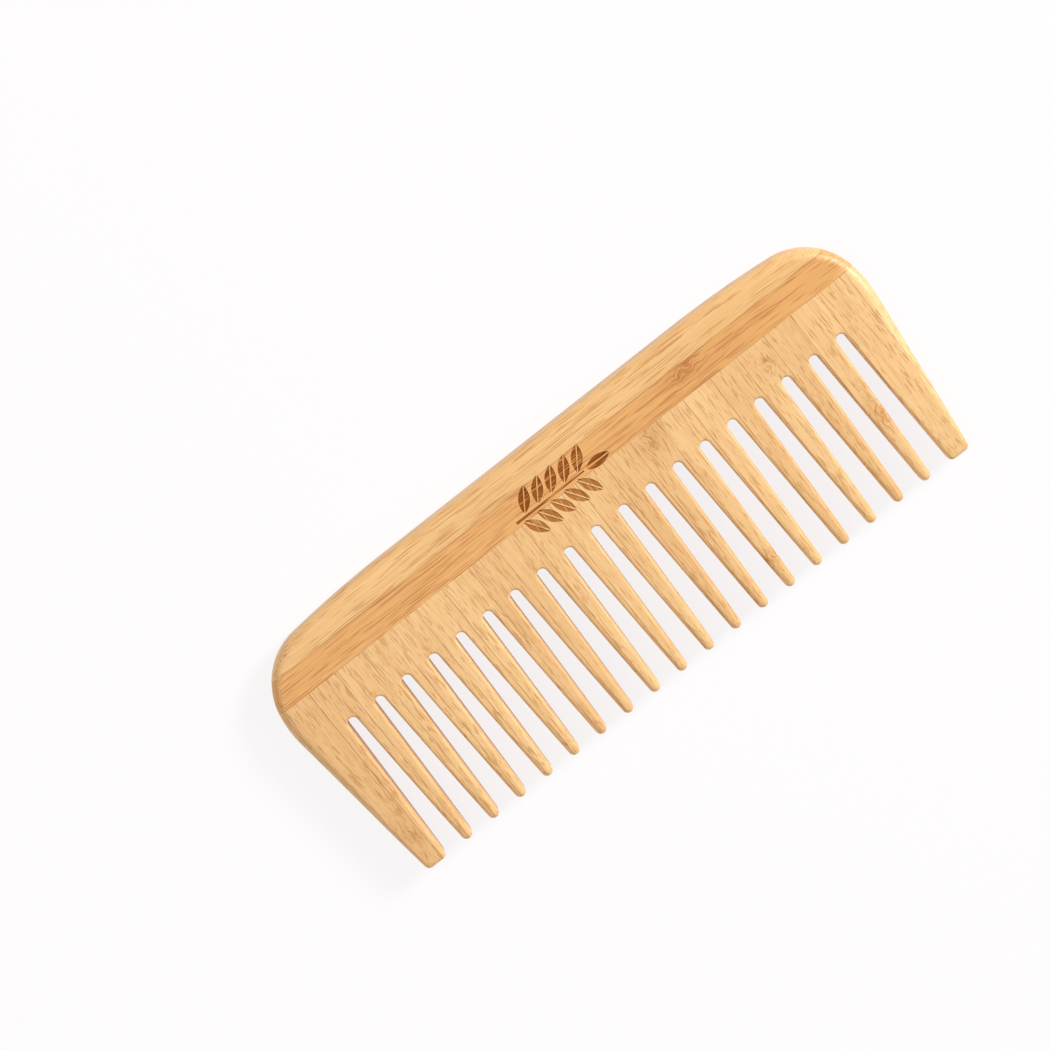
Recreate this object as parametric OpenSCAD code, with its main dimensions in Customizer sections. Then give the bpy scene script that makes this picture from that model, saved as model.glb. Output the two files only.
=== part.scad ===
// Wide tooth comb of laminated bamboo.
// Two strips run along the back and form the spine. The toothed plate below them
// is edge-glued from narrow strips whose grain runs along the teeth.
// The comb lies flat on its back face: +X along its length, +Y towards the spine,
// +Z out of the front face. The origin is under the middle of the comb.

/* [Size] */
// Overall length, across both end teeth
comb_length = 185; // [180:1:192]
// Overall height, from the back of the spine to the tooth tips
comb_height = 71; // [66:1:76]
// Thickness of the blank
comb_thickness = 9; // [7:0.5:11]

/* [Outline] */
// Radius of the gentle fall of the back towards each end
crown_radius = 300; // [250:10:360]
// Angle that the back turns through along that fall
crown_turn = 5.8; // [4:0.2:7]
// Radius of the corner between the back and the end
corner_radius = 17.7; // [14:0.1:20]
// Angle that the corner turns through
corner_turn = 72.4; // [68:0.2:76]
// Radius of the shoulder below the corner
shoulder_radius = 30; // [24:1:36]
// Lean of the straight outer edge of an end tooth
flank_lean = 6.2; // [4:0.2:8]
// Radius of the two corners at the tip of an end tooth
end_tip_radius = 1.5; // [0.8:0.1:2]

/* [Teeth] */
// Number of gaps between the teeth, an odd number
gap_count = 19; // [15:2:19]
// Distance from one gap to the next
gap_pitch = 8.7; // [8.4:0.05:8.8]
// Length of an inner tooth, from its tip to the rounded root of the gap
tooth_length = 43.9; // [36:0.1:46]
// Width of a gap at its root
root_width = 2.76; // [2:0.02:3.4]
// Width of a gap at the tooth tips
mouth_width = 5.9; // [5:0.05:6.2]

/* [Strips] */
// Width of the outer strip of the spine
outer_strip_width = 7.8; // [6:0.1:9]
// Width of the inner strip of the spine
inner_strip_width = 7.7; // [6:0.1:9]
// Width of one strip of the toothed plate
tooth_strip_width = 8.577; // [8.4:0.001:8.6]
// Position of the first glue line, on the left
first_seam_x = -82.55; // [-84:0.05:-81]

/* [Edges] */
// Radius along the back of the spine, front and rear
back_edge_radius = 2.7; // [1:0.1:3.4]
// Thickness of the teeth at their tips
tip_thickness = 6.6; // [5:0.1:7]
// Length over which the teeth thin down to their tips
tip_taper_length = 16; // [8:1:24]
// Radius across the thickness at the tips
tip_edge_radius = 2.2; // [1:0.1:2.4]

/* [Spine joint] */
// Thickness of the tongue on the tooth strips
tongue_thickness = 3; // [2:0.1:4]
// Depth of the tongue in the inner strip of the spine
tongue_depth = 3.5; // [2:0.1:5]
// Strips at the left end of the plate that have no tongue
plain_strips_left = 1; // [1:1:3]
// Strips at the right end of the plate that have no tongue
plain_strips_right = 2; // [2:1:3]

/* [Hidden] */
$fn = 96;
outline_facets = 720;

// Number of strips in the toothed plate. Each one is a node of its own.
tooth_strip_count = 22;

half_length = comb_length / 2;
half_height = comb_height / 2;
back_y = half_height;
tip_y = -half_height;
mid_z = comb_thickness / 2;
margin = 10;

// Strips: a name for each, counted from the left.
function strip_name(i) = str("tooth_strip_", i < 10 ? "0" : "", i);

// Glue lines.
outer_seam_y = back_y - outer_strip_width;
spine_seam_y = outer_seam_y - inner_strip_width;
function seam_x(i) = first_seam_x + (i - 1) * tooth_strip_width;
function strip_left(i) = i == 1 ? -half_length - margin : seam_x(i - 1);
function strip_right(i) = i == tooth_strip_count ? half_length + margin : seam_x(i);
groove_left = seam_x(plain_strips_left);
groove_right = seam_x(tooth_strip_count - plain_strips_right);

// Outline of one end: the back falls along the crown, turns the corner, passes the
// shoulder at the comb's widest point and runs straight down the end tooth. Each
// angle is measured from the comb's length to the outline's direction.
corner_start = crown_turn;
corner_end = crown_turn + corner_turn;
flank_angle = 90 + flank_lean;
crown_start_x = half_length - crown_radius * sin(corner_start)
    - corner_radius * (sin(corner_end) - sin(corner_start))
    - shoulder_radius * (1 - sin(corner_end));
crown_centre = [crown_start_x, back_y - crown_radius];
crown_foot = on_circle(crown_centre, crown_radius, corner_start);
corner_centre = on_circle(crown_foot, -corner_radius, corner_start);
corner_foot = on_circle(corner_centre, corner_radius, corner_end);
shoulder_centre = on_circle(corner_foot, -shoulder_radius, corner_end);
shoulder_foot = on_circle(shoulder_centre, shoulder_radius, flank_angle);

// A point at a distance from c, across an outline that runs at angle a.
function on_circle(c, r, a) = c + r * [sin(a), cos(a)];

// The flank's distance from the middle at height y.
function flank_x(y) = shoulder_foot.x - (shoulder_foot.y - y) * tan(flank_lean);

// Gaps: both walls lean by gap_lean and are tangent to the root circle.
root_y = tip_y + tooth_length;
root_radius = root_width / 2;
root_centre_y = root_y - root_radius;
gap_lean = atan((mouth_width - root_width) / 2 / (root_centre_y - tip_y));
last_gap = (gap_count - 1) / 2;
function gap_half(y) =
    (root_radius + (root_centre_y - y) * sin(gap_lean)) / cos(gap_lean);

// Inner teeth end in a circle tangent to both walls of the tooth.
tip_half = gap_pitch / 2 - gap_half(tip_y);
tip_radius = tip_half * cos(gap_lean) / (1 - sin(gap_lean));
tip_centre_y = tip_y + tip_radius;
tip_cut_y = tip_centre_y - tip_radius * sin(gap_lean);

// End teeth: corner circles tangent to the tip and to the side of the tooth.
end_centre_y = tip_y + end_tip_radius;
end_inner_x = last_gap * gap_pitch + gap_half(end_centre_y)
    + end_tip_radius / cos(gap_lean);
end_outer_x = flank_x(end_centre_y) - end_tip_radius / cos(flank_lean);

light_bamboo = [0.93, 0.74, 0.48];
dark_bamboo = [0.84, 0.60, 0.35];
strip_tones = [[0.92, 0.71, 0.45], [0.90, 0.68, 0.42], [0.94, 0.74, 0.49]];

// A flat shape cut from the full thickness of the blank.
module slab() {
    linear_extrude(comb_thickness) children();
}

// The round stretch of the outline between two points of one circle, with the
// stretch of comb that the inner points enclose behind it.
module arc_piece(centre, radius, from_angle, to_angle, inner) {
    clearance = 1.02;
    middle = (from_angle + to_angle) / 2;
    reach = clearance * radius / cos((to_angle - from_angle) / 2);
    slab() intersection() {
        translate(centre) circle(r = radius, $fn = outline_facets);
        polygon(concat(inner, [
            on_circle(centre, radius, from_angle),
            on_circle(centre, reach, middle),
            on_circle(centre, radius, to_angle)
        ]));
    }
}

// The flat and straight stretches of the blank, from one flank to the other.
module straight_blank() {
    right = [
        [crown_start_x, back_y],
        corner_centre,
        shoulder_foot,
        [flank_x(end_centre_y), end_centre_y]
    ];
    left = [for (i = [3:-1:0]) [-right[i].x, right[i].y]];
    slab() polygon(concat(right, left));
}

// The round stretches of the blank's right end.
module blank_end() {
    slab() translate(corner_centre) circle(r = corner_radius, $fn = outline_facets);
    arc_piece(crown_centre, crown_radius, 0, corner_start,
        [corner_centre, [crown_start_x, corner_centre.y]]);
    arc_piece(shoulder_centre, shoulder_radius, corner_end, flank_angle,
        [[crown_start_x, shoulder_foot.y], corner_centre]);
}

// The rounded tip of the right end tooth.
module end_tooth_tip() {
    slab() translate([end_inner_x, end_centre_y]) circle(r = end_tip_radius);
    slab() translate([end_outer_x, end_centre_y]) circle(r = end_tip_radius);
    slab() translate([end_inner_x, tip_y])
        square([end_outer_x - end_inner_x, 2 * end_tip_radius]);
}

// Everything that is cut away between two teeth, open at the tips.
module gap() {
    tangent_y = root_centre_y + root_radius * sin(gap_lean);
    tangent_x = root_radius * cos(gap_lean);
    open_y = tip_y - margin;
    open_x = gap_half(open_y);
    slab() translate([0, root_centre_y]) circle(r = root_radius);
    slab() polygon([
        [-tangent_x, tangent_y],
        [tangent_x, tangent_y],
        [open_x, open_y],
        [-open_x, open_y]
    ]);
}

// The whole comb, seen from the front, at its full thickness. The gaps and the tips
// outside the stretch from left to right are left out.
module comb_body(left, right) {
    first = max(-last_gap, floor(left / gap_pitch));
    last = min(last_gap, ceil(right / gap_pitch));
    difference() {
        union() {
            straight_blank();
            blank_end();
            mirror([1, 0, 0]) blank_end();
        }
        for (k = [first:last]) {
            translate([k * gap_pitch, 0, 0]) gap();
        }
        translate([-last_gap * gap_pitch, tip_y - margin, 0])
            cube([2 * last_gap * gap_pitch, tip_cut_y - tip_y + margin, comb_thickness]);
    }
    for (k = [first:last - 1]) {
        slab() translate([(k + 0.5) * gap_pitch, tip_centre_y]) circle(r = tip_radius);
    }
    end_tooth_tip();
    mirror([1, 0, 0]) end_tooth_tip();
}

// The comb seen from the end, in X towards the spine and Y through the thickness.
module side_profile() {
    taper_y = tip_y + tip_taper_length;
    back_round_y = back_y - back_edge_radius;
    tip_round_y = tip_y + tip_edge_radius;
    polygon([
        [taper_y, 0],
        [back_round_y, 0],
        [back_y, back_edge_radius],
        [back_y, comb_thickness - back_edge_radius],
        [back_round_y, comb_thickness],
        [taper_y, comb_thickness],
        [tip_round_y, mid_z + tip_thickness / 2],
        [tip_y, mid_z + tip_thickness / 2 - tip_edge_radius],
        [tip_y, mid_z - tip_thickness / 2 + tip_edge_radius],
        [tip_round_y, mid_z - tip_thickness / 2]
    ]);
    for (side = [-1, 1]) {
        translate([back_round_y, mid_z + side * (mid_z - back_edge_radius)])
            circle(r = back_edge_radius);
        translate([tip_round_y, mid_z + side * (tip_thickness / 2 - tip_edge_radius)])
            circle(r = tip_edge_radius);
    }
}

// The part of the comb between two glue lines each way.
module comb_between(left, right, low, high) {
    intersection() {
        comb_body(left, right);
        translate([left, low, 0]) cube([right - left, high - low, comb_thickness]);
        rotate([90, 0, 90]) translate([0, 0, left])
            linear_extrude(right - left) side_profile();
    }
}

// The tongue between two glue lines, or the groove that it fills. The root is how
// far it reaches down into its own strip.
module tongue(left, right, root = 0) {
    translate([left, spine_seam_y - root, mid_z - tongue_thickness / 2])
        cube([right - left, tongue_depth + root, tongue_thickness]);
}

// Outer strip of the spine: pale, grain along the comb.
module spine_outer_strip() {
    color(light_bamboo)
        comb_between(-half_length - margin, half_length + margin, outer_seam_y, back_y + margin);
}

// Inner strip of the spine: darker, grain along the comb, grooved for the tongues.
module spine_inner_strip() {
    color(dark_bamboo) difference() {
        comb_between(-half_length - margin, half_length + margin, spine_seam_y, outer_seam_y);
        tongue(groove_left, groove_right);
    }
}

// Strip i of the toothed plate: grain along the teeth, tongue into the spine.
module tooth_strip(i) {
    color(strip_tones[i % len(strip_tones)]) union() {
        comb_between(strip_left(i), strip_right(i), tip_y - margin, spine_seam_y);
        if (i > plain_strips_left && i <= tooth_strip_count - plain_strips_right) {
            tongue(strip_left(i), strip_right(i), tongue_depth);
        }
    }
}

spine_outer_strip();
spine_inner_strip();
for (i = [1:tooth_strip_count]) {
    tooth_strip(i);
}
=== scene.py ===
import math
import random

import bmesh
import bpy
import numpy as np
from mathutils import Matrix, Vector
from mathutils.geometry import delaunay_2d_cdt


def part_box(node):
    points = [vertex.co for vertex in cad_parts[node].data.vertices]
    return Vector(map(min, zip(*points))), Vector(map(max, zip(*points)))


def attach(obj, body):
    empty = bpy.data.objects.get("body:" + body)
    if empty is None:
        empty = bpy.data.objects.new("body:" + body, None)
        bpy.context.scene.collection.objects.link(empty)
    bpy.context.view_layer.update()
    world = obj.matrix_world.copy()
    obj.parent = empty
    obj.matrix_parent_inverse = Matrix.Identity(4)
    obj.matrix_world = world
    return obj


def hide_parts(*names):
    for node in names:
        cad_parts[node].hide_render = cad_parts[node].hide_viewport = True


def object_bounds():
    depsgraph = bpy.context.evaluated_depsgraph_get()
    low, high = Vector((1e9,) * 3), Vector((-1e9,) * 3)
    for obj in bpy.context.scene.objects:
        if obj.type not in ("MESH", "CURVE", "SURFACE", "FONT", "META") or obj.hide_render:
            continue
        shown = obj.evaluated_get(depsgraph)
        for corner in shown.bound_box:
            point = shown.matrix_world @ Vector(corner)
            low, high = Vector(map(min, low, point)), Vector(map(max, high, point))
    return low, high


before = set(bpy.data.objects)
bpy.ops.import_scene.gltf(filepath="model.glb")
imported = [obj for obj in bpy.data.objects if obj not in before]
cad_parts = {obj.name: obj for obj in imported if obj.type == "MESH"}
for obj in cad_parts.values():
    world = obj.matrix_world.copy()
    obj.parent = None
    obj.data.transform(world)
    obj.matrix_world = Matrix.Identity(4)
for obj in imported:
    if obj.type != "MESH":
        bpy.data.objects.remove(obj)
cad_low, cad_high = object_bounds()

# A wide tooth comb of laminated bamboo. It lies on its back face: +X along the comb,
# +Y from the teeth to the spine, +Z out of the front face. The whole sanded blank is
# built as one skin with rounded edges, then cut at the glue lines into one closed
# piece for each strip. Lengths are in millimetres up to the meshes, then in metres.

MM = 0.001

# ---------------------------------------------------------------------------
# Sizes that the frame gives
# ---------------------------------------------------------------------------
STRIP_NAMES = sorted(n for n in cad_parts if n.startswith("tooth_strip_"))
HALF_LENGTH = cad_high.x / MM
BACK_Y = cad_high.y / MM
TIP_Y = cad_low.y / MM
THICKNESS = cad_high.z / MM
MID_Z = THICKNESS / 2
OUTER_SEAM_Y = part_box("spine_outer_strip")[0].y / MM
SPINE_SEAM_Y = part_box("spine_inner_strip")[0].y / MM
SEAMS_X = [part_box(name)[1].x / MM for name in STRIP_NAMES[:-1]]
TONGUED = [n for n in STRIP_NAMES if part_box(n)[1].y / MM > SPINE_SEAM_Y + 0.5]
TONGUE_TOP_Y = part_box(TONGUED[0])[1].y / MM
TONGUE_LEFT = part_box(TONGUED[0])[0].x / MM
TONGUE_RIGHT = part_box(TONGUED[-1])[1].x / MM

# The rest of the design, as in the part's source.
CROWN_RADIUS, CROWN_TURN = 300.0, math.radians(5.8)
CORNER_RADIUS, CORNER_TURN = 17.7, math.radians(72.4)
SHOULDER_RADIUS = 30.0
FLANK_LEAN = math.radians(6.2)
END_TIP_RADIUS = 1.5
GAP_COUNT, GAP_PITCH = 19, 8.7
TOOTH_LENGTH = 43.9
ROOT_WIDTH, MOUTH_WIDTH = 2.76, 5.9
TIP_THICKNESS, TIP_TAPER_LENGTH = 6.6, 16.0
TONGUE_THICKNESS = 3.0
TONGUE_END_PLAY = 0.01

# Radius that each edge is sanded to, and the heights where it starts to change.
BACK_EDGE = 2.7
FLANK_TIP_EDGE = 1.1
FLANK_CHANGE_Y = 8
ROOT_EDGE = 0.65
TOOTH_EDGE = 0.75
TOOTH_TIP_EDGE = 1.3
TOOTH_CHANGE_Y = -8

# Mesh fineness: steps across and along the edges, and lengths of the steps in mm.
EDGE_STEPS = 8
CROWN_STEPS, CORNER_STEPS, SHOULDER_STEPS = 16, 26, 6
END_TIP_STEPS = 8
TOOTH_TIP_STEPS = 16
ARCH_STEPS = 8
WALL_STEP = 1.6
FACE_STEP = 1.5
RIM_CLEARANCE = 0.4 * FACE_STEP
MARK_CLEARANCE = 0.25
NEAR_MARK = 20
ON_LOOP = 1e-4
SHARP_EDGE = math.radians(38)


# ---------------------------------------------------------------------------
# Outline of the comb, as (point, outward normal, edge radius), clockwise
# ---------------------------------------------------------------------------
def direction(angle):
    """The outward normal where the outline runs at this angle, 0 along the back."""
    return np.array([math.sin(angle), math.cos(angle)])


def smooth(t):
    """Rises from 0 to 1 with a soft start and end."""
    t = min(1.0, max(0.0, t))
    return t * t * (3 - 2 * t)


def flank_edge(y):
    """The end tooth's outer edge is sanded less towards its tip."""
    t = smooth((FLANK_CHANGE_Y - y) / (FLANK_CHANGE_Y - TIP_Y))
    return BACK_EDGE + (FLANK_TIP_EDGE - BACK_EDGE) * t


def tooth_edge(y):
    """The teeth grow rounder towards their tips."""
    t = smooth((TOOTH_CHANGE_Y - y) / (TOOTH_CHANGE_Y - TIP_Y))
    return TOOTH_EDGE + (TOOTH_TIP_EDGE - TOOTH_EDGE) * t


def along_arc(centre, radius, start, end, edge, steps):
    """Points along an outward-curved stretch, without its last point."""
    points = []
    for k in range(steps):
        n = direction(start + (end - start) * k / steps)
        points.append((centre + radius * n, n, edge))
    return points


def along_line(start, end, normal, edge_at):
    """Points along a straight stretch, without its last point."""
    steps = max(1, math.ceil(np.linalg.norm(end - start) / WALL_STEP))
    points = []
    for k in range(steps):
        p = start + (end - start) * k / steps
        points.append((p, normal, edge_at(p[1])))
    return points


def design():
    """Centres and angles that the outline is drawn from."""
    d = {}
    a1, a2, a3 = CROWN_TURN, CROWN_TURN + CORNER_TURN, math.pi / 2 + FLANK_LEAN
    crown_x = (HALF_LENGTH - CROWN_RADIUS * math.sin(a1)
               - CORNER_RADIUS * (math.sin(a2) - math.sin(a1))
               - SHOULDER_RADIUS * (1 - math.sin(a2)))
    d["turns"] = (a1, a2, a3)
    d["crown"] = np.array([crown_x, BACK_Y - CROWN_RADIUS])
    d["corner"] = d["crown"] + (CROWN_RADIUS - CORNER_RADIUS) * direction(a1)
    d["shoulder"] = d["corner"] + (CORNER_RADIUS - SHOULDER_RADIUS) * direction(a2)
    d["flank_top"] = d["shoulder"] + SHOULDER_RADIUS * direction(a3)
    d["root_radius"] = ROOT_WIDTH / 2
    d["root_y"] = TIP_Y + TOOTH_LENGTH - d["root_radius"]
    d["lean"] = math.atan((MOUTH_WIDTH - ROOT_WIDTH) / 2 / (d["root_y"] - TIP_Y))
    tip_half = GAP_PITCH / 2 - gap_half(d, TIP_Y)
    d["tip_radius"] = tip_half * math.cos(d["lean"]) / (1 - math.sin(d["lean"]))
    d["tip_y"] = TIP_Y + d["tip_radius"]
    end_y = TIP_Y + END_TIP_RADIUS
    last_gap = (GAP_COUNT - 1) // 2 * GAP_PITCH
    inner_x = last_gap + gap_half(d, end_y) + END_TIP_RADIUS / math.cos(d["lean"])
    flank_x = d["flank_top"][0] - (d["flank_top"][1] - end_y) * math.tan(FLANK_LEAN)
    outer_x = flank_x - END_TIP_RADIUS / math.cos(FLANK_LEAN)
    d["end_outer"] = np.array([outer_x, end_y])
    d["end_inner"] = np.array([inner_x, end_y])
    return d


def gap_half(d, y):
    """Half the width of a gap at height y."""
    return (d["root_radius"] + (d["root_y"] - y) * math.sin(d["lean"])) / math.cos(d["lean"])


def gap_side(d, gap_x):
    """The right side of one gap: its wall's normal, the wall's top and the arch above."""
    lean = d["lean"]
    centre = np.array([gap_x, d["root_y"]])
    wall_normal = np.array([-math.cos(lean), -math.sin(lean)])
    root = centre - d["root_radius"] * wall_normal
    arch = []
    for k in range(ARCH_STEPS):
        a = lean + (math.pi / 2 - lean) * k / ARCH_STEPS
        n = np.array([-math.cos(a), -math.sin(a)])
        edge = ROOT_EDGE + (TOOTH_EDGE - ROOT_EDGE) * (1 - k / ARCH_STEPS)
        arch.append((centre - d["root_radius"] * n, n, edge))
    return wall_normal, root, arch


def mirrored(points, about_x):
    """The same stretch on the other side of a vertical line, walked the other way."""
    flip = np.array([-1.0, 1.0])
    shift = np.array([2 * about_x, 0.0])
    return [(p * flip + shift, n * flip, r) for p, n, r in reversed(points)]


def right_half(d):
    """The outline from the middle of the back, clockwise to the top of the middle gap."""
    a1, a2, a3 = d["turns"]
    lean = d["lean"]
    up = direction(0)
    start = np.array([0.0, BACK_Y])
    points = along_line(start, d["crown"] + CROWN_RADIUS * up, up, lambda y: BACK_EDGE)
    points += along_arc(d["crown"], CROWN_RADIUS, 0, a1, BACK_EDGE, CROWN_STEPS)
    points += along_arc(d["corner"], CORNER_RADIUS, a1, a2, BACK_EDGE, CORNER_STEPS)
    points += along_arc(d["shoulder"], SHOULDER_RADIUS, a2, a3, BACK_EDGE, SHOULDER_STEPS)
    side = direction(a3)
    outer, inner = d["end_outer"], d["end_inner"]
    points += along_line(d["flank_top"], outer + END_TIP_RADIUS * side, side, flank_edge)
    down = direction(math.pi)
    points += along_arc(outer, END_TIP_RADIUS, a3, math.pi, FLANK_TIP_EDGE, END_TIP_STEPS)
    points += along_line(outer + END_TIP_RADIUS * down, inner + END_TIP_RADIUS * down, down,
                         lambda y: FLANK_TIP_EDGE)
    gap_wall = 1.5 * math.pi - lean
    points += along_arc(inner, END_TIP_RADIUS, math.pi, gap_wall, FLANK_TIP_EDGE,
                        END_TIP_STEPS)
    end_wall_foot = inner + END_TIP_RADIUS * direction(gap_wall)
    for gap in range((GAP_COUNT - 1) // 2, -1, -1):
        gap_x = gap * GAP_PITCH
        wall_normal, root, arch = gap_side(d, gap_x)
        tip = np.array([gap_x + GAP_PITCH / 2, d["tip_y"]])
        foot = tip + d["tip_radius"] * wall_normal
        if gap == (GAP_COUNT - 1) // 2:
            foot = end_wall_foot
            edge_at = lambda y: min(FLANK_TIP_EDGE, tooth_edge(y))
        else:
            edge_at = tooth_edge
        points += along_line(foot, root, wall_normal, edge_at) + arch
        if gap == 0:
            break
        top = np.array([gap_x, d["root_y"] + d["root_radius"]])
        points.append((top, np.array([0.0, -1.0]), ROOT_EDGE))
        left_tip = np.array([gap_x - GAP_PITCH / 2, d["tip_y"]])
        left_foot = left_tip + d["tip_radius"] * wall_normal * np.array([-1.0, 1.0])
        left_wall = along_line(np.array([2 * gap_x - left_foot[0], left_foot[1]]),
                               root, wall_normal, tooth_edge) + arch
        points += mirrored(left_wall, gap_x)
        points += along_arc(left_tip, d["tip_radius"], math.pi / 2 + lean,
                            gap_wall, TOOTH_TIP_EDGE, TOOTH_TIP_STEPS)[1:]
    return points


def whole_outline():
    """The closed outline, clockwise from the middle of the back."""
    d = design()
    right = right_half(d)
    top = np.array([0.0, d["root_y"] + d["root_radius"]])
    middle = [(top, np.array([0.0, -1.0]), ROOT_EDGE)]
    return right + middle + mirrored(right[1:], 0.0)


def half_thickness(y):
    """Half the blank's thickness: the teeth thin down to their tips."""
    t = np.clip((TIP_Y + TIP_TAPER_LENGTH - y) / TIP_TAPER_LENGTH, 0, 1)
    return MID_Z - (MID_Z - TIP_THICKNESS / 2) * t * t


# ---------------------------------------------------------------------------
# The mark: a burnt sprig of leaves, shallow in the front face
# ---------------------------------------------------------------------------
MARK_DEPTH = 0.12
MARK_WALL = 0.07
MARK_LEFT, MARK_RIGHT, MARK_STEM_Y = -14.6, 14.6, 21.3
LEAF_LENGTH, LEAF_WIDTH = 7.6, 3.0
LEAF_PAIRS, LEAF_TILT = 5, math.radians(56)
LEAF_OFF_STEM = 0.55
FIRST_LEAF_IN = 1.0
UPPER_LEAF_AT, LOWER_LEAF_AT = 0.5, 0.15
END_LEAF_GAP = 0.5
MIDRIB = 0.3
STEM_HALF, STEM_TAPER = 0.34, 0.45
LEAF_END_HALF = 0.05
LEAF_STEPS, STEM_STEPS = 14, 24


def half_leaf(base, angle, side, inset):
    """One half of a pointed leaf, beside its midrib, as a closed loop of points."""
    along = np.array([math.cos(angle), math.sin(angle)])
    across = side * np.array([-along[1], along[0]])
    low = MIDRIB / 2 + inset
    narrowest = low + inset + LEAF_END_HALF
    first = (1 - math.sqrt(1 - 2 * narrowest / LEAF_WIDTH)) / 2
    loop = []
    for k in range(LEAF_STEPS + 1):
        t = first + (1 - 2 * first) * k / LEAF_STEPS
        width = 2 * LEAF_WIDTH * t * (1 - t)
        loop.append(base + along * LEAF_LENGTH * t + across * (width - inset))
    low_end = base + along * LEAF_LENGTH * (1 - first) + across * low
    low_start = base + along * LEAF_LENGTH * first + across * low
    return loop + [low_end, low_start]


def stem(inset):
    """The stem, which thins towards the end leaf, as a closed loop of points."""
    upper, lower = [], []
    for k in range(STEM_STEPS + 1):
        t = k / STEM_STEPS
        x = MARK_LEFT + inset + (MARK_RIGHT - MARK_LEFT - LEAF_LENGTH - 2 * inset) * t
        half = STEM_HALF * (1 - STEM_TAPER * t) - inset
        upper.append(np.array([x, MARK_STEM_Y + half]))
        lower.append(np.array([x, MARK_STEM_Y - half]))
    return upper + lower[::-1]


def mark_loops(inset):
    """Every closed loop of the mark, drawn in from its edge by the inset."""
    loops = [stem(inset)]
    last_x = MARK_RIGHT - LEAF_LENGTH + END_LEAF_GAP
    for side in (-1, 1):
        loops.append(half_leaf(np.array([last_x, MARK_STEM_Y]), 0.0, side, inset))
    pitch = (last_x - MARK_LEFT - FIRST_LEAF_IN) / LEAF_PAIRS
    for k in range(LEAF_PAIRS):
        for tilt in (-LEAF_TILT, LEAF_TILT):
            x = MARK_LEFT + FIRST_LEAF_IN + pitch * (
                k + (UPPER_LEAF_AT if tilt > 0 else LOWER_LEAF_AT))
            start = np.array([x, MARK_STEM_Y + math.copysign(LEAF_OFF_STEM, tilt)])
            for side in (-1, 1):
                loops.append(half_leaf(start, tilt, side, inset))
    return loops


# ---------------------------------------------------------------------------
# The skin of the whole blank
# ---------------------------------------------------------------------------
def inside(points, loop):
    """True for each point inside a closed loop."""
    x, y = points[:, 0][:, None], points[:, 1][:, None]
    a, b = loop, np.roll(loop, -1, axis=0)
    crosses = (a[:, 1] > y) != (b[:, 1] > y)
    with np.errstate(divide="ignore", invalid="ignore"):
        at = (b[:, 0] - a[:, 0]) * (y - a[:, 1]) / (b[:, 1] - a[:, 1]) + a[:, 0]
    return (crosses & (x < at)).sum(axis=1) % 2 == 1


def distance(points, loop):
    """Each point's distance from a closed loop."""
    a, b = loop, np.roll(loop, -1, axis=0)
    best = np.full(len(points), 1e9)
    for p, q in zip(a, b):
        d = q - p
        t = np.clip(((points - p) @ d) / (d @ d + 1e-12), 0, 1)
        gap = np.linalg.norm(points - p - t[:, None] * d, axis=1)
        best = np.minimum(best, gap)
    return best


def face_grid(loop, marks):
    """A triangular grid of points inside the loop, clear of it and of the marks."""
    rows = []
    row_step = FACE_STEP * math.sqrt(3) / 2
    count_y = int((BACK_Y - TIP_Y) / row_step) + 1
    count_x = int(2 * HALF_LENGTH / FACE_STEP) + 1
    for j in range(count_y):
        shift = 0.5 * FACE_STEP * (j % 2)
        for i in range(count_x):
            rows.append((-HALF_LENGTH + shift + i * FACE_STEP, TIP_Y + j * row_step))
    points = np.array(rows)
    points = points[inside(points, loop)]
    points = points[distance(points, loop) > RIM_CLEARANCE]
    for m in marks:
        near = np.abs(points - m.mean(axis=0)).max(axis=1) < NEAR_MARK
        keep = np.ones(len(points), bool)
        keep[near] = distance(points[near], m) > MARK_CLEARANCE
        points = points[keep]
    return points


def flat_face(loop, marks):
    """Triangles across the flat inside the loop: points, triangles, loop's own indices."""
    points = [loop] + marks + [face_grid(loop, marks)]
    edges, start = [], 0
    for part in points[:-1]:
        n = len(part)
        edges += [(start + k, start + (k + 1) % n) for k in range(n)]
        start += n
    every = np.concatenate(points)
    result = delaunay_2d_cdt([Vector(p) for p in every], edges, [], 0, 1e-7, True)
    co = np.array([tuple(v) for v in result[0]])
    triangles = np.array(result[2])
    triangles = triangles[inside(co[triangles].mean(axis=1), loop)]
    origin = {}
    for new, olds in enumerate(result[3]):
        for old in olds:
            origin[old] = new
    return co, triangles, [origin[k] for k in range(len(loop))]


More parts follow.
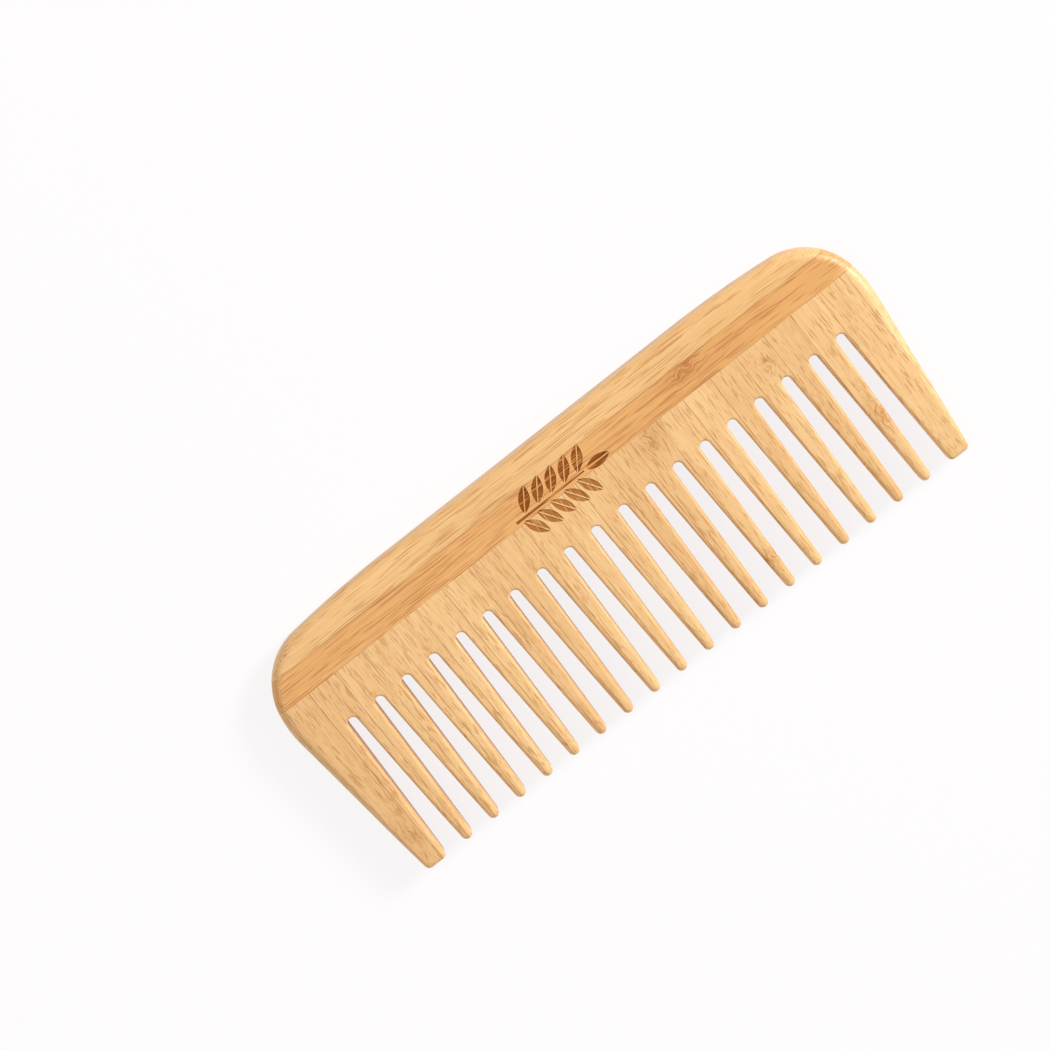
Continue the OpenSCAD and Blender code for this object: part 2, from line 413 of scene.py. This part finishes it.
def build_blank():
    """The whole sanded blank as one closed bmesh, in millimetres."""
    outline = whole_outline()
    points = np.array([o[0] for o in outline])
    normals = np.array([o[1] for o in outline])
    edges = np.array([o[2] for o in outline])
    bm = bmesh.new()

    def ring(angle, side):
        offset = points - normals * (edges * (1 - math.cos(angle)))[:, None]
        z = MID_Z + side * (half_thickness(offset[:, 1]) - edges + edges * math.sin(angle))
        return [bm.verts.new((p[0], p[1], h)) for p, h in zip(offset, z)]

    steps = [k * math.pi / 2 / EDGE_STEPS for k in range(EDGE_STEPS)]
    rings = [ring(a, -1) for a in reversed(steps)] + [ring(a, 1) for a in steps]
    count = len(outline)
    for low, high in zip(rings, rings[1:]):
        for k in range(count):
            j = (k + 1) % count
            bm.faces.new((low[k], high[k], high[j], low[j]))

    inner = points - normals * edges[:, None]
    walls = [np.array(loop) for loop in mark_loops(0.0)]
    floors = [np.array(loop) for loop in mark_loops(MARK_WALL)]
    for side, last in ((1, rings[-1]), (-1, rings[0])):
        marks = walls + floors if side > 0 else []
        co, triangles, rim = flat_face(inner, marks)
        z = MID_Z + side * half_thickness(co[:, 1])
        burnt = np.zeros(len(co), bool)
        if side > 0:
            for wall, floor in zip(walls, floors):
                z[inside(co, floor) | (distance(co, floor) < ON_LOOP)] -= MARK_DEPTH
                burnt |= inside(co, wall) | (distance(co, wall) < ON_LOOP)
        verts = [bm.verts.new((p[0], p[1], h)) for p, h in zip(co, z)]
        for tri in triangles:
            a, b, c = (verts[i] for i in tri)
            face = bm.faces.new((a, b, c) if side > 0 else (a, c, b))
            if side > 0 and all(burnt[i] for i in tri):
                middle = co[tri].mean(axis=0)[None]
                if any(inside(middle, wall)[0] for wall in walls):
                    face.material_index = 1
        for k in range(count):
            j = (k + 1) % count
            a, b, c, d = last[k], last[j], verts[rim[j]], verts[rim[k]]
            bm.faces.new((b, a, d, c) if side > 0 else (a, b, c, d))
    bmesh.ops.recalc_face_normals(bm, faces=bm.faces)
    return bm


# ---------------------------------------------------------------------------
# Cutting the blank at its glue lines
# ---------------------------------------------------------------------------
def cut(source, axis, position, keep_above):
    """A copy of the mesh on one side of a plane, left open. Returns it and the cut edges."""
    bm = source.copy()
    normal = Vector((0, 0, 0))
    normal[axis] = 1
    point = Vector((0, 0, 0))
    point[axis] = position
    geometry = bm.verts[:] + bm.edges[:] + bm.faces[:]
    result = bmesh.ops.bisect_plane(bm, geom=geometry, dist=1e-6, plane_co=point,
                                    plane_no=normal, clear_inner=keep_above,
                                    clear_outer=not keep_above)
    edges = [e for e in result["geom_cut"] if isinstance(e, bmesh.types.BMEdge)]
    return bm, [e for e in edges if e.is_valid and e.is_boundary]


def close(bm, edges):
    """Fills the flat face that a cut left open."""
    before = set(bm.faces)
    bmesh.ops.triangle_fill(bm, edges=edges, use_beauty=True)
    for f in bm.faces:
        if f not in before:
            f.material_index = 0
    return bm


def piece_of(source, axis, low, high):
    """The part of a closed mesh between two planes, closed again."""
    bm = source
    if low is not None:
        bm, edges = cut(bm, axis, low, True)
        close(bm, edges)
    if high is not None:
        bm, edges = cut(bm, axis, high, False)
        close(bm, edges)
    return bm


def with_tongue(source, keep_above):
    """Cuts at the spine's glue line, leaving the tongue or the groove on the cut face."""
    bm, edges = cut(source, 1, SPINE_SEAM_Y, keep_above)
    play = 0 if keep_above else TONGUE_END_PLAY
    left, right = TONGUE_LEFT + play, TONGUE_RIGHT - play
    low_z, high_z = MID_Z - TONGUE_THICKNESS / 2, MID_Z + TONGUE_THICKNESS / 2
    corners = [(left, low_z), (right, low_z), (right, high_z), (left, high_z)]
    base = [bm.verts.new((x, SPINE_SEAM_Y, z)) for x, z in corners]
    top = [bm.verts.new((x, TONGUE_TOP_Y, z)) for x, z in corners]
    rim = [bm.edges.new((base[k], base[(k + 1) % 4])) for k in range(4)]
    close(bm, edges + rim)
    for k in range(4):
        j = (k + 1) % 4
        bm.faces.new((base[k], base[j], top[j], top[k]))
    bm.faces.new(top)
    bmesh.ops.recalc_face_normals(bm, faces=bm.faces)
    return bm


def make_piece(name, bm, node, materials):
    """Turns a closed bmesh in millimetres into a piece that stands for its CAD node."""
    bmesh.ops.recalc_face_normals(bm, faces=bm.faces)
    bmesh.ops.scale(bm, vec=(MM, MM, MM), verts=bm.verts)
    mesh = bpy.data.meshes.new(name)
    bm.to_mesh(mesh)
    bm.free()
    for material in materials:
        mesh.materials.append(material)
    mesh.shade_smooth()
    mesh.set_sharp_from_angle(angle=SHARP_EDGE)
    piece = bpy.data.objects.new(name, mesh)
    bpy.context.scene.collection.objects.link(piece)
    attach(piece, "root")
    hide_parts(node)
    return piece


# ---------------------------------------------------------------------------
# Bamboo
# ---------------------------------------------------------------------------
# Sizes of the grain's marks in mm: along the grain, across it and into the wood. Those
# of dashes, crowds, fine grain, bands and flecks are along in shares of a dash's length.
WAVES = (26, 12, 12)
DASHES = (1.0, 0.32, 0.36)
CROWDS = (6.0, 2.0, 3.0)
FINE_GRAIN = (2.6, 0.24, 0.35)
BANDS = (6.0, 1.1, 1.6)
BROAD_TONES = (60, 5, 6)
FLECKS = (1.0, 0.34, 0.40)
SPECKLES = (1.1, 0.42, 0.5)
GLUE_SHOWS = (7, 1, 9)
BURN_STREAKS = (9, 0.42, 1.2)

# How far waves and knots push the grain aside, in mm or as a share of the distance.
WAVE_REACH = 1.5
KNOT_SPREAD_ALONG, KNOT_SPREAD_ACROSS = 22, 9
KNOT_BULGE = -0.62
KNOT_RIPPLE, KNOT_RIPPLE_RATE = 0.35, 1.5
KNOT_DASH_COVER = 0.08
KNOT_DARKENING, SPECKLE_DARKENING = 0.7, 0.8

# What each kind of mark multiplies the ground colour by.
BROAD_TINT = (0.965, 0.94, 0.90, 1)
BAND_TINT = (0.97, 0.945, 0.91, 1)
FINE_TINT = (0.90, 0.835, 0.75, 1)
DASH_TINT = (0.755, 0.625, 0.465, 1)
FLECK_TINT = (1.03, 1.08, 1.19, 1)
KNOT_TINT = (0.90, 0.81, 0.68, 1)
SPECKLE_TINT = (0.70, 0.55, 0.40, 1)
GLUE_TINT = (0.56, 0.42, 0.30, 1)
GLUE_HALF_WIDTH, GLUE_FADE = 0.05, 0.17

# Between which noise values each kind of mark comes in, from not at all to in full.
BROAD_RANGE, BAND_RANGE, FINE_RANGE = (0.35, 0.65), (0.4, 0.7), (0.44, 0.70)
FLECK_RANGE, SPECKLE_RANGE, STREAK_RANGE = (0.57, 0.70), (0.46, 0.64), (0.52, 0.64)
CROWD_RANGE = (0.3, 0.7)
# The noise value that a dash starts at, where dashes are sparse and where they crowd, and
# how far over it the noise goes before the dash shows in full.
DASH_CUT, DASH_RANGE = (0.63, 0.53), (0.0, 0.085)
# Glue lines show in full above this range of their noise, and this faintly below it.
GLUE_RANGE, GLUE_FAINTEST = (0.36, 0.60), 0.30
# They fade out as a wall turns to face across them.
SIDE_ON_RANGE = (0.75, 0.95)
# How far fine grain stands up and dashes sink in, and the range that roughness follows.
FINE_RELIEF, DASH_RELIEF = 0.6, 0.5
RELIEF_RANGE = (-0.3, 0.5)
# Steps that keep one strip's noise, and one axis, from repeating another's.
SEED_ALONG, SEED_ACROSS, AXIS_SHIFT = 31.7, 17.3, 7.3

NO_SEAM = 1000.0
NO_KNOT = (0, 0, 0)
GRAIN_DEPTH, GRAIN_STRENGTH = 0.00003, 0.6
ROUGH_LOW, ROUGH_HIGH = 0.43, 0.52
OILED_SPECULAR, BURNT_SPECULAR = 0.8, 0.12
LIGHTEST_BURN = 0.35


class Graph:
    """Short ways to add nodes to a node tree."""

    def __init__(self, tree):
        self.tree = tree

    def node(self, kind, inputs=(), **settings):
        n = self.tree.nodes.new(kind)
        for key, value in settings.items():
            setattr(n, key, value)
        for key, value in dict(inputs).items():
            if isinstance(value, bpy.types.NodeSocket):
                self.tree.links.new(value, n.inputs[key])
            elif value is not None:
                n.inputs[key].default_value = value
        return n

    def math(self, operation, a, b=None):
        return self.node("ShaderNodeMath", {0: a, 1: b}, operation=operation).outputs[0]

    def add(self, a, b):
        return self.math("ADD", a, b)

    def times(self, a, b):
        return self.math("MULTIPLY", a, b)

    def ramp(self, value, low, high, to_low=0.0, to_high=1.0):
        """Goes softly from one value to another as the input goes from low to high."""
        inputs = {"Value": value, "From Min": low, "From Max": high,
                  "To Min": to_low, "To Max": to_high}
        return self.node("ShaderNodeMapRange", inputs,
                         interpolation_type="SMOOTHSTEP").outputs[0]

    def noise(self, along, across, depth, sizes, shift=0.0, detail=2.0, rough=0.5):
        """Noise whose lumps have these sizes in mm, along, across and into the wood."""
        parts = [self.add(self.times(v, 1 / size), shift + AXIS_SHIFT * k)
                 for k, (v, size) in enumerate(zip((along, across, depth), sizes))]
        vector = self.node("ShaderNodeCombineXYZ", dict(enumerate(parts))).outputs[0]
        inputs = {"Vector": vector, "Scale": 1.0, "Detail": detail, "Roughness": rough}
        return self.node("ShaderNodeTexNoise", inputs).outputs["Fac"]

    def tint(self, factor, color, by):
        """The colour multiplied by another, as far as the factor says."""
        n = self.node("ShaderNodeMix", {0: factor, 6: color, 7: by}, data_type="RGBA",
                      blend_type="MULTIPLY")
        return n.outputs[2]


def bamboo_group():
    """Sanded bamboo: short dark fibre bundles in a pale ground, glue lines and knots."""
    tree = bpy.data.node_groups.new("bamboo_grain", "ShaderNodeTree")
    floats = ("Along", "Across", "Depth", "Seed", "Dash Length", "Dash Strength", "Dash Cover",
              "Side On", "Low Seam", "High Seam", "Knot Along", "Knot Across", "Knot Strength")
    for name in floats:
        tree.interface.new_socket(name, in_out="INPUT", socket_type="NodeSocketFloat")
    tree.interface.new_socket("Ground", in_out="INPUT", socket_type="NodeSocketColor")
    tree.interface.new_socket("Color", in_out="OUTPUT", socket_type="NodeSocketColor")
    tree.interface.new_socket("Height", in_out="OUTPUT", socket_type="NodeSocketFloat")
    tree.interface.new_socket("Streak", in_out="OUTPUT", socket_type="NodeSocketFloat")
    g = Graph(tree)
    given = tree.nodes.new("NodeGroupInput").outputs
    seed, depth = given["Seed"], given["Depth"]

    # A knot pushes the grain aside, and is darker and speckled.
    from_a = g.math("SUBTRACT", given["Along"], given["Knot Along"])
    from_c = g.math("SUBTRACT", given["Across"], given["Knot Across"])
    spread = g.add(g.times(g.times(from_a, from_a), 1 / KNOT_SPREAD_ALONG),
                   g.times(g.times(from_c, from_c), 1 / KNOT_SPREAD_ACROSS))
    knot = g.times(g.math("EXPONENT", g.times(spread, -1.0)), given["Knot Strength"])
    along = g.add(given["Along"], g.times(seed, SEED_ALONG))
    across_0 = g.add(given["Across"], g.times(seed, SEED_ACROSS))
    wave = g.noise(along, across_0, depth, WAVES, shift=3.1, detail=1.0)
    across_1 = g.add(across_0, g.times(g.math("SUBTRACT", wave, 0.5), WAVE_REACH))
    bulge = g.times(g.times(knot, from_c), KNOT_BULGE)
    swing = g.math("SINE", g.times(from_a, KNOT_RIPPLE_RATE))
    ripple = g.times(knot, g.times(swing, KNOT_RIPPLE))
    across = g.add(g.add(across_1, bulge), ripple)

    # Fibre bundles show as short dashes, which crowd together in places.
    scaled = g.math("DIVIDE", along, given["Dash Length"])
    dash = g.noise(scaled, across, depth, DASHES, shift=11.0, detail=1.0, rough=0.4)
    crowd = g.noise(scaled, across, depth, CROWDS, shift=5.0, detail=1.0)
    eased = g.add(given["Dash Cover"], g.times(knot, KNOT_DASH_COVER))
    cut_at = g.math("SUBTRACT", g.ramp(crowd, *CROWD_RANGE, *DASH_CUT), eased)
    dashes = g.ramp(g.math("SUBTRACT", dash, cut_at), *DASH_RANGE)
    fine = g.noise(scaled, across, depth, FINE_GRAIN, shift=23.0, detail=1.5)
    bands = g.noise(scaled, across, depth, BANDS, shift=37.0)
    broad = g.noise(along, across, depth, BROAD_TONES, shift=41.0, detail=1.0)
    pale = g.noise(scaled, across, depth, FLECKS, shift=53.0, detail=1.0)
    fleck = g.ramp(pale, *FLECK_RANGE)

    color = g.tint(g.ramp(broad, *BROAD_RANGE), given["Ground"], BROAD_TINT)
    color = g.tint(g.ramp(bands, *BAND_RANGE), color, BAND_TINT)
    color = g.tint(g.ramp(fine, *FINE_RANGE), color, FINE_TINT)
    color = g.tint(g.times(dashes, given["Dash Strength"]), color, DASH_TINT)
    color = g.tint(fleck, color, FLECK_TINT)
    spots = g.noise(along, across, depth, SPECKLES, shift=61.0, rough=0.7)
    speckle = g.times(knot, g.ramp(spots, *SPECKLE_RANGE))
    color = g.tint(g.times(knot, KNOT_DARKENING), color, KNOT_TINT)
    color = g.tint(g.times(speckle, SPECKLE_DARKENING), color, SPECKLE_TINT)

    # The glue lines, which show in places.
    low = g.math("ABSOLUTE", g.math("SUBTRACT", given["Across"], given["Low Seam"]))
    high = g.math("ABSOLUTE", g.math("SUBTRACT", given["Across"], given["High Seam"]))
    line = g.ramp(g.math("MINIMUM", low, high), GLUE_HALF_WIDTH, GLUE_FADE, 1.0, 0.0)
    shows = g.ramp(g.noise(along, seed, depth, GLUE_SHOWS, shift=71.0), *GLUE_RANGE,
                   GLUE_FAINTEST, 1.0)
    # A wall that runs along the glue line would smear it into a band.
    crossing = g.ramp(given["Side On"], *SIDE_ON_RANGE, 1.0, 0.0)
    line = g.times(g.times(line, shows), crossing)
    color = g.tint(line, color, GLUE_TINT)

    height = g.math("SUBTRACT", g.times(fine, FINE_RELIEF), g.times(dashes, DASH_RELIEF))
    streak = g.noise(along, across, depth, BURN_STREAKS, shift=83.0, rough=0.6)
    out = tree.nodes.new("NodeGroupOutput")
    for name, value in (("Color", color), ("Height", height), ("Streak", streak)):
        tree.links.new(value, out.inputs[name])
    return tree


GROUP = bamboo_group()


def principled(material):
    """The material's main shader."""
    material.use_nodes = True
    return next(n for n in material.node_tree.nodes if n.type == "BSDF_PRINCIPLED")


def bamboo(name, seed, ground, grain_axis, seams, length, strength, cover=0.0, knot=NO_KNOT,
           burn=None):
    """One strip's bamboo. With burn, a colour and a strength, it is the burnt mark's floor."""
    material = bpy.data.materials.new(name)
    shader = principled(material)
    tree = material.node_tree
    g = Graph(tree)
    place = g.node("ShaderNodeTexCoord").outputs
    axes = g.node("ShaderNodeSeparateXYZ", {0: place["Object"]}).outputs
    normal = g.node("ShaderNodeSeparateXYZ", {0: place["Normal"]}).outputs
    in_mm = [g.times(axes[k], 1 / MM) for k in range(3)]
    side_on = g.math("ABSOLUTE", normal[1 - grain_axis])
    inputs = {"Side On": side_on, "Along": in_mm[grain_axis], "Across": in_mm[1 - grain_axis],
              "Depth": in_mm[2], "Seed": seed, "Dash Length": length,
              "Dash Strength": strength, "Dash Cover": cover,
              "Low Seam": seams[0], "High Seam": seams[1], "Knot Along": knot[0],
              "Knot Across": knot[1], "Knot Strength": knot[2], "Ground": (*ground, 1)}
    grain = g.node("ShaderNodeGroup", inputs=(), node_tree=GROUP)
    for key, value in inputs.items():
        if isinstance(value, bpy.types.NodeSocket):
            tree.links.new(value, grain.inputs[key])
        else:
            grain.inputs[key].default_value = value
    color = grain.outputs["Color"]
    if burn:
        burn_color, darkest = burn
        burnt = g.ramp(grain.outputs["Streak"], *STREAK_RANGE, darkest, LIGHTEST_BURN)
        color = g.tint(burnt, color, (*burn_color, 1))
    tree.links.new(color, shader.inputs["Base Color"])
    rough = g.ramp(grain.outputs["Height"], *RELIEF_RANGE, ROUGH_HIGH, ROUGH_LOW)
    tree.links.new(rough, shader.inputs["Roughness"])
    bump = g.node("ShaderNodeBump", {"Strength": GRAIN_STRENGTH, "Distance": GRAIN_DEPTH,
                                     "Height": grain.outputs["Height"]})
    tree.links.new(bump.outputs[0], shader.inputs["Normal"])
    shader.inputs["Specular IOR Level"].default_value = BURNT_SPECULAR if burn else OILED_SPECULAR
    return material


# Ground colours of the outer, the inner and the tooth strips, and colour and strength of
# the burn on a dark and on a pale strip.
PALE = (0.800, 0.480, 0.192)
DARK = (0.745, 0.385, 0.118)
PLATE = (0.815, 0.512, 0.224)
BURN_DARK = ((0.37, 0.19, 0.07), 1.0)
BURN_PALE = ((0.50, 0.30, 0.13), 0.97)
# Strips that are darker or paler than the rest, by their place from the left. The darkening of
# strips 1 and 2, at the left end, is painted shade.
TONES_AND_LEFT_END_SHADE = {8: 0.955, 9: 0.965, 13: 0.95, 14: 0.955, 17: 0.95, 19: 0.96, 1: 0.94, 2: 0.965, 22: 1.03}
# Knots by strip: along the grain, across it (both mm in the frame), strength.
KNOTS = {14: (18.0, 25.0, 0.9), 18: (14.0, 59.0, 0.9), 20: (-14.0, 75.2, 1.25),
         15: (-26.5, 30.4, 0.7), 1: (-24.0, -84.5, 0.6), 3: (-25.0, -73.0, 0.6)}
SPINE_KNOT = (42.5, 25.6, 1.0)
# How far strips differ by chance, and how much faster green and blue darken than red.
SEEDS, TONE_SPREAD, STRENGTHS = (0, 9), (0.985, 1.012), (0.8, 1.0)
TONE_WARMTH = 0.8
SPINE_DASH_LENGTH, TOOTH_DASH_LENGTH = 9.0, 3.4
OUTER_COVER, INNER_COVER = 0.005, 0.035


# ---------------------------------------------------------------------------
# The comb
# ---------------------------------------------------------------------------
def build_comb():
    """Cuts the blank into its 24 strips, each a piece with its own bamboo."""
    rng = random.Random(7)
    blank = build_blank()
    outer = piece_of(blank, 1, OUTER_SEAM_Y, None)
    rest = piece_of(blank, 1, None, OUTER_SEAM_Y)
    inner = with_tongue(rest, True)
    plate = with_tongue(rest, False)

    def finish(name, bm, node, slot, **look):
        materials = [bamboo(name, **look)]
        if any(f.material_index == 1 for f in bm.faces):
            burn = BURN_DARK if slot == "bamboo_dark" else BURN_PALE
            materials.append(bamboo(name + "_burnt", burn=burn, **look))
        make_piece(name, bm, node, materials)

    finish("spine_outer", outer, "spine_outer_strip", "bamboo_pale", seed=rng.uniform(*SEEDS),
           ground=PALE, grain_axis=0, seams=(OUTER_SEAM_Y, NO_SEAM),
           length=SPINE_DASH_LENGTH, strength=1.0, cover=OUTER_COVER)
    finish("spine_inner", inner, "spine_inner_strip", "bamboo_dark", seed=rng.uniform(*SEEDS),
           ground=DARK, grain_axis=0, seams=(SPINE_SEAM_Y, OUTER_SEAM_Y),
           length=SPINE_DASH_LENGTH, strength=1.0, cover=INNER_COVER, knot=SPINE_KNOT)
    edges_x = [NO_SEAM] + SEAMS_X + [NO_SEAM]
    for k, node in enumerate(STRIP_NAMES):
        if k < len(SEAMS_X):
            strip = piece_of(plate, 0, None, SEAMS_X[k])
            plate = piece_of(plate, 0, SEAMS_X[k], None)
        else:
            strip = plate
        # For strips 1 and 2 at the left end, this darkening is painted shade.
        tone_and_shade = TONES_AND_LEFT_END_SHADE.get(k + 1, 1.0) * rng.uniform(*TONE_SPREAD)
        ground = tuple(c * tone_and_shade ** (1 + TONE_WARMTH * i) for i, c in enumerate(PLATE))
        finish("tooth_%02d" % (k + 1), strip, node, "bamboo_plate", seed=rng.uniform(*SEEDS),
               ground=ground, grain_axis=1, seams=(edges_x[k], edges_x[k + 1]),
               length=TOOTH_DASH_LENGTH, strength=rng.uniform(*STRENGTHS),
               knot=KNOTS.get(k + 1, NO_KNOT))


build_comb()


# ---------------------------------------------------------------------------
# Table, lights and camera
# ---------------------------------------------------------------------------
FLOOR_REACH, FLOOR_Z = 3.0, -0.00002
FLOOR_COLOR, FLOOR_GLOW = (0.13, 0.127, 0.13, 1), (1.0, 0.985, 0.993, 1)
FLOOR_GLOW_STRENGTH = 0.84
WORLD_COLOR, WORLD_STRENGTH = (1.0, 0.99, 0.99, 1), 0.53
CAMERA_PLACE = Vector((0.0372, 0.2253, 1.1775))
CAMERA_RIGHT = Vector((0.78579, -0.61403, 0.07416))
CAMERA_UP = Vector((0.61704, 0.77007, -0.16205))
CAMERA_LENS, CAMERA_SENSOR = 161.69, 36.0


def add_floor():
    """Just under the comb, so that the two flat faces aren't in one plane."""
    mesh = bpy.data.meshes.new("floor")
    signs = ((-1, -1), (1, -1), (1, 1), (-1, 1))
    corners = [(FLOOR_REACH * x, FLOOR_REACH * y, FLOOR_Z) for x, y in signs]
    mesh.from_pydata(corners, [], [(0, 1, 2, 3)])
    floor = bpy.data.objects.new("floor", mesh)
    bpy.context.scene.collection.objects.link(floor)
    material = bpy.data.materials.new("pale_floor")
    shader = principled(material)
    shader.inputs["Base Color"].default_value = FLOOR_COLOR
    shader.inputs["Roughness"].default_value = 0.9
    shader.inputs["Specular IOR Level"].default_value = 0.1
    shader.inputs["Emission Color"].default_value = FLOOR_GLOW
    shader.inputs["Emission Strength"].default_value = FLOOR_GLOW_STRENGTH
    mesh.materials.append(material)


def add_light(name, place, size, power, color):
    """A round lamp that points at the origin, under the middle of the comb."""
    data = bpy.data.lights.new(name, "AREA")
    data.shape = "DISK"
    data.size = size
    data.energy = power
    data.color = color
    light = bpy.data.objects.new(name, data)
    light.location = place
    light.rotation_euler = (-Vector(place)).to_track_quat("-Z", "Y").to_euler()
    bpy.context.scene.collection.objects.link(light)


def add_camera():
    """Looks at the comb as the photograph does: from above and a little from its spine's side."""
    data = bpy.data.cameras.new("camera")
    data.lens = CAMERA_LENS
    data.sensor_width = CAMERA_SENSOR
    data.clip_start = 0.05
    data.clip_end = 20.0
    camera = bpy.data.objects.new("camera", data)
    bpy.context.scene.collection.objects.link(camera)
    right = CAMERA_RIGHT.normalized()
    back = right.cross(CAMERA_UP).normalized()
    up = back.cross(right)
    turn = Matrix((right, up, back)).transposed().to_4x4()
    camera.matrix_world = Matrix.Translation(CAMERA_PLACE) @ turn
    bpy.context.scene.camera = camera


add_floor()
add_light("key", (1.90, 0.30, 1.15), size=0.75, power=51.0, color=(1.0, 0.99, 0.97))
add_light("fill", (-0.6, 0.3, 1.4), size=0.9, power=4.2, color=(0.98, 0.99, 1.0))
add_camera()

world = bpy.data.worlds.new("studio")
bpy.context.scene.world = world
world.use_nodes = True
background = next(n for n in world.node_tree.nodes if n.type == "BACKGROUND")
background.inputs["Color"].default_value = WORLD_COLOR
background.inputs["Strength"].default_value = WORLD_STRENGTH
bpy.context.scene.view_settings.view_transform = "Standard"
